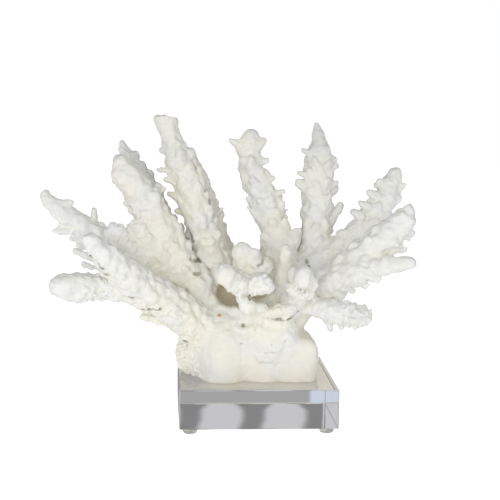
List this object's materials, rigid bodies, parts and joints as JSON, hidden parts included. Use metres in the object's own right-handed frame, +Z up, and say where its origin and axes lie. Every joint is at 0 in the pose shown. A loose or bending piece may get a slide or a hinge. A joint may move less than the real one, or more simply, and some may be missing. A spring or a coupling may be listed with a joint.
{
  "type": "branching coral",
  "caption": "White branching coral whose scaly, finger-like branches fan out from a lumpy foot, resting on a square clear acrylic block with small round bumper feet.",
  "frame": {"origin": "middle of the whole object's footprint, on the plane that the bumpers stand on", "axes": "+X to the right along the coral's widest spread, +Y to the back, +Z up"},
  "size_m": [0.246, 0.1466, 0.1994],
  "materials": {
    "coral": "matte",
    "coral_foot": "matte",
    "acrylic": "polished",
    "bumper": "gloss"
  },
  "bodies": {
    "root": {"acrylic_block": "acrylic", "bumper_front_left": "bumper", "bumper_front_right": "bumper", "bumper_rear_left": "bumper", "bumper_rear_right": "bumper", "coral_foot": "coral_foot", "branch_left_front": "coral", "branch_left_tall": "coral", "branch_centre_tall": "coral", "branch_right_front": "coral", "branch_right_tall": "coral", "branch_right_pointed": "coral", "branch_right_upper": "coral", "branch_left_outer": "coral", "branch_left_low": "coral", "branch_left_short_low": "coral", "branch_left_short_high": "coral", "branch_left_tall_rear": "coral", "branch_centre_tall_rear": "coral", "branch_right_side": "coral", "branch_right_low": "coral", "branch_front_top": "coral", "branch_front_left": "coral", "branch_front_right": "coral", "branch_front_upright": "coral", "branch_front_end": "coral", "branch_rear_left": "coral", "branch_rear_left_low": "coral", "branch_rear_centre": "coral", "branch_rear_centre_low": "coral", "branch_rear_middle": "coral", "branch_rear_right": "coral", "branch_rear_right_low": "coral"}
  },
  "joints": []
}
